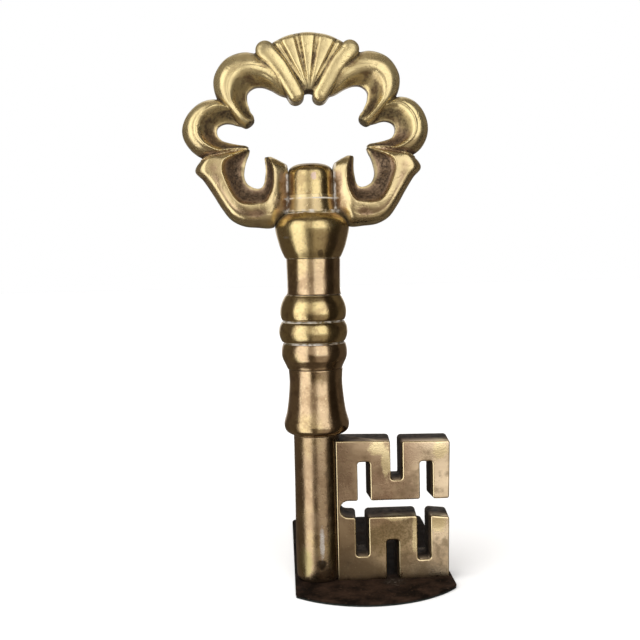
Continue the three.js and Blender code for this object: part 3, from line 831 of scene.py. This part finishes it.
# White polish dried into the joints: height, half width and strength.
RESIDUE = [
    (119.9, 0.55, 1.0), (110.2, 0.55, 1.0), (168.5, 1.0, 0.85), (174.3, 0.4, 0.9), (131.7, 0.25, 0.4),
    (147.9, 0.25, 0.4),
]
PEACH = (0.57, 0.415, 0.25)
ROSE = (0.58, 0.4, 0.255)
GOLD = (0.69, 0.54, 0.26)
STAIN_AND_SHADE = (0.26, 0.16, 0.08)
UMBER = (0.085, 0.052, 0.028)
SOOT_AND_SHADE = (0.018, 0.012, 0.008)
CHALK = (0.62, 0.58, 0.52)


def brass(name, gold=0.5, rough=0.17, film=0.5, hollow_reach=5.0, casting=False, spots=()):
    """Old hand-polished brass: gold and peach patches, a brown film, hollows darkened with dirt and painted
    shade, and polish in the joints.
    spots are (x, z, half width, half height, colour, strength)."""
    s = Shade(name)
    height = s.axis("Z")
    mottle = s.noise(17, 4, shift=3.1)
    if casting:
        mottle = s.plus(mottle, s.ramp(height, 188, 214, -0.42, 0.1))
    tone = s.ramp(mottle, 0.62 - gold * 0.5, 0.92 - gold * 0.5)
    color = s.mix(tone, ROSE if casting else PEACH, GOLD)
    blotch = s.noise(6.5, 6, 0.62, shift=9.4)
    stain = s.ramp(blotch, 0.45, 0.64, 0.0, film)
    color = s.mix(stain, color, STAIN_AND_SHADE)
    fine = s.noise(1.3, 5, 0.72, shift=1.7)
    color = s.mix(s.ramp(fine, 0.53, 0.69, 0.0, 0.65 if casting else 0.4), color, STAIN_AND_SHADE)
    color = s.mix(s.ramp(fine, 0.43, 0.31, 0.0, 0.4), color, (0.86, 0.74, 0.44))
    # Dirt and painted shade darken the hollows: from ambient occlusion here, and on the bow also from the
    # cavity and the painted grime and shade of each band.
    shut = s.openness(hollow_reach)
    dirt_and_shade = s.ramp(s.plus(shut, s.times(blotch, 0.35)), 0.52, 1.0, 1.0, 0.0)
    uneasy = s.minus(blotch, 0.5)
    if casting:
        depth = s.add("ShaderNodeAttribute", attribute_name="cavity").outputs["Fac"]
        grime_and_shade = s.add("ShaderNodeAttribute", attribute_name="grime_and_shade").outputs["Fac"]
        sunk = s.ramp(s.plus(depth, uneasy), 0.1, 0.9)
        grime_and_shade = s.ramp(s.plus(grime_and_shade, uneasy), 0.12, 0.85)
        dirt_and_shade = s.most(dirt_and_shade, s.most(sunk, grime_and_shade))
        # Brown patina and painted shade on surfaces turned away from the front and back.
        turned_away = s.plus(s.facing(), s.times(uneasy, 0.8))
        color = s.mix(s.ramp(turned_away, 0.6, 0.15, 0.0, 0.75), color, STAIN_AND_SHADE)
        worn = s.ramp(depth, -0.1, -0.5, 0.0, 0.7)
        color = s.mix(worn, color, (0.84, 0.69, 0.36))
    crust = s.noise(1.1, 5, 0.7, shift=12.1)
    dirt_and_shade = s.times(dirt_and_shade, s.ramp(crust, 0.36, 0.64, 0.95, 0.65 if casting else 0.85))
    color = s.mix(dirt_and_shade, color, s.mix(s.ramp(crust, 0.3, 0.66), SOOT_AND_SHADE, UMBER))
    white = None
    for level, half, strength in RESIDUE:
        line = s.times(s.near(height, level, half), strength)
        white = line if white is None else s.most(white, line)
    if casting:
        flat = s.vector("MULTIPLY", s.place, (1, 1, 0))
        away = s.length(flat)
        below_dome = s.ramp(height, CAP_TOP + 1, CAP_TOP - 1, 0.0, 1.0)
        near_hub = s.times(s.ramp(away, CAP_R + 3.5, CAP_R + 1.5, 0.0, 1.0), below_dome)
        white = s.times(white, near_hub)
        # Painted shade darkens the band round the hub, as if it were recessed.
        by_hub = s.ramp(away, HUB_FOOT_R + 1, HUB_FOOT_R)
        collar = s.times(by_hub, s.near(height, HUB_MIDDLE, 3, 0.3))
        color = s.mix(s.times(collar, 0.35), color, STAIN_AND_SHADE)
        beside = s.ramp(s.math("ABSOLUTE", s.axis("X")), CAP_R - 1, CAP_R - 0.4)
        beside = s.times(s.near(away, CAP_R + 0.5, 1.2), beside)
        beside = s.times(beside, below_dome)
        white = s.most(white, s.times(beside, 0.9))
    patchy = s.ramp(s.noise(3.2, 4, 0.6, shift=5.5), 0.36, 0.6)
    white = s.times(white, patchy)
    color = s.mix(white, color, CHALK)
    for x, z, wide, high, tint, strength in spots:
        color = s.mix(s.times(s.patch(x, z, wide, high), strength), color, tint)
    dull = s.plus(rough, s.ramp(s.noise(9, 5, shift=7.7), 0.3, 0.7, -0.05, 0.1))
    dull = s.plus(dull, s.times(dirt_and_shade, 0.35))
    dull = s.plus(dull, s.times(white, 0.5), clamp=True)
    wave = s.bump(s.noise(7.5, 2, 0.4, (1, 1, 1 if casting else 0.3), shift=4.2), 0.34 if casting else 0.22)
    dents = s.bump(s.ramp(s.noise(2.1, 2, 0.5, shift=6.1), 0.28, 0.42), 0.045 if casting else 0.02, wave)
    grit = s.bump(s.noise(0.7, 4, 0.7, shift=2.2), 0.035, dents)
    if casting:
        grit = s.bump(s.times(s.noise(1.6, 4, 0.7, shift=8.8), dirt_and_shade), 0.16, grit)
    metallic = s.minus(1.0, s.most(white, s.times(dirt_and_shade, 0.25)))
    if casting:
        metallic = s.times(metallic, s.ramp(height, 194, 214, 0.97, 0.87))
    return s.set(Base_Color=color, Roughness=dull, Metallic=metallic, Normal=grit)


CREAM = (1.0, 0.82, 0.47)
# Worn bright spots on the bit: x, z, half width, half height.
BIT_WORN = [
    (27.3, 62.3, 4.4, 3), (30.8, 55.5, 1.8, 7), (55.2, 60.8, 4, 4.6), (43.3, 22, 1.2, 9),
    (54.2, 27.2, 3.4, 4.2), (34.5, 30, 5, 1.3),
]


def bit_brass(name):
    """The bit's polished faces are tan. Its rims are painted bright as highlights, and its slot walls and
    sides are painted dark as shade and left rough.
    """
    s = Shade(name)
    facing = s.facing()
    wall = s.ramp(facing, 0.25, 0.05)
    rim = s.times(s.ramp(facing, 0.25, 0.5), s.ramp(facing, 0.995, 0.93, 0.0, 1.0))
    blotch = s.noise(6.5, 6, 0.62, shift=9.4)
    cloud = s.noise(19, 5, 0.6, shift=2.7)
    color = s.mix(s.ramp(cloud, 0.38, 0.62), (0.4, 0.26, 0.16), (0.72, 0.53, 0.33))
    across, height = s.axis("X"), s.axis("Z")
    color = s.mix(s.ramp(height, 34, 26, 0.0, 0.35), color, (0.7, 0.5, 0.24))
    # Painted shade darkens the face towards the shank, and painted light brightens it towards the tip; it is
    # also darker at its lower left.
    color = s.mix(s.ramp(across, 38, 8, 0.0, 0.6), color, (0.24, 0.16, 0.095))
    low_left = s.times(s.ramp(across, 36, 16), s.ramp(height, 36, 28, 0.0, 0.45))
    color = s.mix(low_left, color, (0.2, 0.135, 0.075))
    color = s.mix(s.ramp(across, 34, 58, 0.0, 0.85), color, (1.0, 0.8, 0.54))
    tarnish = s.ramp(s.plus(blotch, s.ramp(height, 26, 4, 0.0, 0.16)), 0.5, 0.72, 0.0, 0.65)
    color = s.mix(tarnish, color, (0.22, 0.145, 0.075))
    fleck = s.noise(0.9, 4, 0.75, shift=1.7)
    color = s.mix(s.ramp(fleck, 0.62, 0.74, 0.0, 0.7), color, (0.75, 0.62, 0.36))
    color = s.mix(s.ramp(fleck, 0.4, 0.3, 0.0, 0.5), color, STAIN_AND_SHADE)
    bright = None
    for x, z, wide, high in BIT_WORN:
        spot = s.patch(x, z, wide, high, ragged=1.1, grain=6)
        bright = spot if bright is None else s.most(bright, spot)
    murk = s.patch(34, 22, 13, 8, ragged=1.2, grain=5)
    murk = s.times(murk, s.ramp(fleck, 0.35, 0.6, 0.35, 0.85))
    color = s.mix(murk, color, (0.2, 0.14, 0.06))
    bright = s.times(bright, 0.95)
    color = s.mix(bright, color, CREAM)
    # Painted highlights: the rounded rims are painted bright.
    color = s.mix(s.times(rim, 0.9), color, (0.95, 0.78, 0.46))
    uneasy = s.minus(blotch, 0.5)
    # Painted shade: corners and hollows, such as beside the shank, are darkened with umber.
    corner = s.ramp(s.plus(s.openness(4), s.times(uneasy, 0.5)), 0.85, 0.4)
    color = s.mix(corner, color, UMBER)
    # Painted shade: the slot walls and sides are painted near black, mottled.
    rough_cast = s.ramp(s.noise(2.2, 5, 0.7, shift=4), 0.35, 0.7)
    color = s.mix(wall, color, s.mix(rough_cast, (0.02, 0.013, 0.008), (0.10, 0.068, 0.042)))
    dull = s.plus(s.ramp(cloud, 0.3, 0.7, 0.24, 0.32), s.times(tarnish, 0.25))
    dull = s.plus(dull, s.times(wall, 0.4))
    dull = s.minus(dull, s.times(bright, 0.1), clamp=True)
    crown = s.bump(s.noise(22, 1, 0.3, shift=6.6), 1.7)
    brushed = s.bump(s.noise(1.6, 3, 0.6, stretch=(0.25, 1, 1), shift=3.3), 0.03, crown)
    grit = s.bump(s.noise(0.8, 4, 0.7, shift=5), 0.04, brushed)
    return s.set(Base_Color=color, Roughness=dull, Metallic=1.0, Normal=grit)


FLUX_SPOT = (33.3, -11, 0)  # in front of the bit's lowest slot


def patina_steel(name):
    """Sheet steel gone dark brown, with scorch marks and flux from brazing the key down, and painted shade
    behind the key.
    """
    s = Shade(name)
    cloud = s.noise(9, 6, 0.65)
    color = s.mix(s.ramp(cloud, 0.35, 0.68), (0.006, 0.004, 0.003), (0.03, 0.017, 0.011))
    speck = s.ramp(s.noise(1.4, 5, 0.7, shift=8), 0.58, 0.74, 0.0, 0.7)
    color = s.mix(speck, color, (0.085, 0.052, 0.032))
    # Painted shade: the plate darkens towards the back, behind the key.
    shade_behind_key = s.ramp(s.axis("Y"), -6, 12)
    color = s.mix(s.times(shade_behind_key, 0.75), color, (0.003, 0.0025, 0.002))
    off = s.vector("SUBTRACT", s.place, FLUX_SPOT)
    flux = s.length(off)
    flux = s.plus(flux, s.times(s.noise(2.5, 5, 0.7, shift=6), 9))
    scorch = s.ramp(flux, 13, 6)
    color = s.mix(scorch, color, SOOT_AND_SHADE)
    crumbs = s.times(s.ramp(s.noise(1.1, 3, 0.6, shift=11), 0.55, 0.68), s.ramp(flux, 11, 6))
    color = s.mix(s.times(crumbs, 0.6), color, (0.2, 0.17, 0.14))
    dull = s.ramp(s.noise(5, 5, shift=3), 0.3, 0.7, 0.6, 0.8)
    normal = s.bump(s.noise(0.9, 4, 0.6, shift=1), 0.08)
    s.shader.inputs["Specular IOR Level"].default_value = 0.02
    return s.set(Base_Color=color, Roughness=dull, Normal=normal)


def cut_steel(name):
    s = Shade(name)
    color = s.mix(s.noise(2, 4), (0.42, 0.41, 0.4), (0.56, 0.55, 0.53))
    dull = s.ramp(s.noise(0.8, 3, shift=2), 0.3, 0.7, 0.3, 0.45)
    return s.set(Base_Color=color, Roughness=dull, Metallic=1.0)


def felt_cloth(name):
    s = Shade(name)
    fuzz = s.noise(0.35, 6, 0.8)
    color = s.mix(fuzz, (0.004, 0.006, 0.005), (0.02, 0.028, 0.022))
    normal = s.bump(fuzz, 0.15)
    return s.set(Base_Color=color, Roughness=0.95, Normal=normal)


def matte(name, grey):
    return Shade(name).set(Base_Color=(grey, grey, grey, 1), Roughness=0.9)


# ---------- the studio ----------
CAMERA_AT = (-14.3, -405, 148.4)
CAMERA_TURN = (2.42, 4.0, -1.27)  # degrees to the right, downwards and of roll
CAMERA_LENS = 50.625


def camera():
    data = bpy.data.cameras.new("camera")
    data.sensor_width = 36
    data.lens = CAMERA_LENS
    data.clip_start, data.clip_end = 0.01, 20
    thing = bpy.data.objects.new("camera", data)
    bpy.context.scene.collection.objects.link(thing)
    yaw, pitch, roll_angle = (math.radians(degrees) for degrees in CAMERA_TURN)
    ahead = Vector((math.sin(yaw) * math.cos(pitch), math.cos(yaw) * math.cos(pitch), -math.sin(pitch)))
    right = Vector((math.cos(yaw), -math.sin(yaw), 0))
    up = right.cross(ahead)
    level_right = math.cos(roll_angle) * right + math.sin(roll_angle) * up
    level_up = -math.sin(roll_angle) * right + math.cos(roll_angle) * up
    turn = Matrix((level_right, level_up, -ahead)).transposed().to_4x4()
    thing.matrix_world = Matrix.Translation(Vector(CAMERA_AT) * MM) @ turn
    bpy.context.scene.camera = thing


# Soft boxes round the object, and one dark flag: azimuths from and to (0 faces the object's front and 90 is
# to its right), elevations from and to, the softness of the edges in degrees, and the brightness.
AMBIENT = 0.115
ROOM_TINT, WHITE_FROM = (1, 0.78, 0.56), 0.9  # the dim parts of the room are warm
SOFT_BOXES = [
    (-72, -27, -46, 43, 12, 1.6),
    (1, 46, -11, 43, 12, 1.4),
    (-2, 50, -50, -11, 12, 0.3),
    (-27, 1, -8, 42, 8, 0.42),
    (152, 208, -6, 60, 8, 0.7),
    (-180, 180, 66, 100, 12, 0.12),
]
FLAG = (58, 96, -60, 75, 6, -0.08)


def studio():
    scene = bpy.context.scene
    scene.view_settings.view_transform = "Standard"
    world = bpy.data.worlds.new("studio")
    scene.world = world
    world.use_nodes = True
    n = Nodes(world.node_tree)

    def window(value, low, high, soft):
        rise = n.ramp(value, low - soft / 2, low + soft / 2)
        return n.times(rise, n.ramp(value, high + soft / 2, high - soft / 2))

    ahead = n.add("ShaderNodeTexCoord").outputs["Generated"]
    x, y, z = n.add("ShaderNodeSeparateXYZ", {0: ahead}).outputs
    azimuth = n.times(n.math("ARCTAN2", x, n.times(y, -1)), 180 / math.pi)
    all_round = n.math("MODULO", n.plus(azimuth, 360), 360)
    elevation = n.times(n.math("ARCSINE", z), 180 / math.pi)
    light = AMBIENT
    for low, high, bottom, top, soft, bright in SOFT_BOXES + [FLAG]:
        turn = all_round if low > 100 else azimuth
        shape = window(elevation, bottom, top, soft)
        if high - low < 360:
            shape = n.times(shape, window(turn, low, high, soft))
        light = n.plus(light, n.times(shape, bright))
    seen = n.add("ShaderNodeLightPath").outputs["Is Camera Ray"]  # the camera sees plain white behind
    tint = n.mix(n.most(n.times(light, 1 / WHITE_FROM), seen), ROOM_TINT, (1, 1, 1))
    background = n.tree.nodes["Background"]
    n.plug(background.inputs["Color"], tint)
    n.plug(background.inputs["Strength"], n.plus(n.times(light, n.minus(1, seen)), seen))

    mesh = bpy.data.meshes.new("floor")
    mesh.from_pydata([(-4, -4, 0), (4, -4, 0), (4, 4, 0), (-4, 4, 0)], [], [(0, 1, 2, 3)])
    floor = new_object("floor", mesh)
    floor.data.materials.append(matte("floor", 0.9))
    floor.visible_glossy = False
    overhead = bpy.data.lights.new("overhead", "SUN")
    overhead.energy = 3.3
    overhead.angle = math.radians(70)
    lamp = bpy.data.objects.new("overhead", overhead)
    lamp.visible_glossy = False
    lamp.rotation_euler = Vector((0.25, 0.3, -1)).to_track_quat("-Z", "Y").to_euler()
    scene.collection.objects.link(lamp)


# ---------- assembly ----------
# The stem's pieces sit a little off centre, by about the play round the tie rod: (x, y) in millimetres.
OFF_CENTRE = {
    "baluster": (0.35, 0.1), "middle_bead": (-0.3, 0), "upper_bead": (-0.15, 0.1), "neck": (0.35, -0.1),
    "bulb": (0.2, 0),
}


def settle(piece, node):
    x, y = OFF_CENTRE.get(node, (0, 0))
    piece.data.transform(Matrix.Translation((x * MM, y * MM, 0)))


camera()
studio()
TURNED = brass("turned_brass", gold=0.35, rough=0.12)
ROUND_GOLD = brass("gold_brass", gold=0.85, rough=0.14, film=0.5)
CAST = brass("cast_brass", gold=0.8, rough=0.25, film=0.85, hollow_reach=6, casting=True)
# Marks on the shank: a brown film, painted shade down its right side where the bit hides the light, white
# where the film has been scraped off, a painted reflection line, and scorched towards the foot.
SHANK_MARKS_AND_PAINTED_LIGHT = [
    (-3, 36, 9, 44, (0.3, 0.2, 0.12), 0.4),
    # Painted shade down the right side, where the bit hides the light.
    (7.4, 36, 4, 44, (0.12, 0.08, 0.045), 0.8),
    (1.2, 20, 1.1, 7.5, (0.85, 0.82, 0.78), 0.75),
    (0.9, 10.5, 2.2, 2.4, SOOT_AND_SHADE, 0.85),
    # A painted reflection: a thin bright line down the right side.
    (5.2, 38, 0.9, 32, (0.62, 0.47, 0.27), 0.5),
    (-6.5, 11, 3.5, 7, (0.42, 0.36, 0.16), 0.7),
    (5.5, 17, 1.6, 10, (0.5, 0.42, 0.2), 0.6),
    (0, 1.5, 14, 3, UMBER, 0.9),
]
SHANK = brass("shank_brass", gold=0.3, rough=0.22, film=0.45, spots=SHANK_MARKS_AND_PAINTED_LIGHT)
# The dome is painted dark brown round its rim and top as shade, and has a worn spot on its front. The bulb's
# flank has a nick.
RIM_SHADE_BROWN = (0.2, 0.125, 0.06)
CAP_SPOTS = [
    (-10, 181, 2.4, 11, RIM_SHADE_BROWN, 0.75),
    (10, 181, 2.8, 11, RIM_SHADE_BROWN, 0.75),
    (0.5, 191, 9.5, 2.8, RIM_SHADE_BROWN, 0.75),
    (1.0, 183.8, 1.3, 1.8, (0.62, 0.46, 0.4), 0.8),
]
CAP = brass("cap_brass", gold=0.8, rough=0.2, film=0.5, spots=CAP_SPOTS)
BULB_SPOTS = [(-11.6, 157.2, 1.3, 0.6, (0.8, 0.72, 0.6), 0.9), (3.2, 150, 1.5, 1.8, UMBER, 0.7)]
BULB = brass("bulb_brass", gold=0.75, rough=0.19, film=0.2, spots=BULB_SPOTS)
STEEL = cut_steel("cut_steel")
LOOKS = {
    "felt_pad": felt_cloth("felt_cloth"), "tongue_plate": patina_steel("patina_steel"), "shank": SHANK,
    "bit": bit_brass("bit_brass"), "baluster": TURNED, "lower_bead": TURNED, "middle_bead": ROUND_GOLD,
    "upper_bead": ROUND_GOLD, "neck": TURNED, "bulb": BULB, "bow": CAST, "cap_nut": CAP,
}


def cavity_of(thing, passes=120):
    """Stores how far each point lies below (+) or above (-) the smoothed surface, about 1 for 0.5 mm."""
    mesh = thing.data
    count = len(mesh.vertices)
    points, normals = point_array(mesh), point_array(mesh, "normal")
    ends = np.empty(len(mesh.edges) * 2, np.int64)
    mesh.edges.foreach_get("vertices", ends)
    a, b = ends.reshape(-1, 2).T
    neighbours = np.bincount(a, minlength=count) + np.bincount(b, minlength=count)
    smooth = points.copy()
    for _ in range(passes):
        total = [
            np.bincount(a, smooth[b, k], minlength=count) + np.bincount(b, smooth[a, k], minlength=count)
            for k in range(3)
        ]
        smooth += 0.9 * (np.stack(total, 1) / np.maximum(neighbours, 1)[:, None] - smooth)
    depth = ((smooth - points) * normals).sum(1) / (0.5 * MM)
    mesh.attributes.new("cavity", "FLOAT", "POINT").data.foreach_set("value", depth.astype(np.float32))


makers = [felt, tongue] + [partial(stem_piece, node) for node in STEM] + [cap, bit, bow]
for make in makers:
    piece, node = make()
    settle(piece, node)
    smooth_by_angle(piece, 35)
    if node == "bow":
        cavity_of(piece)
    piece.data.materials.clear()
    piece.data.materials.append(LOOKS[node])
    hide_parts(node)
    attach(piece, "root")
for node in ROD_NODES + SCREW_NODES:
    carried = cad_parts[node]
    carried.data.materials.clear()
    carried.data.materials.append(STEEL)
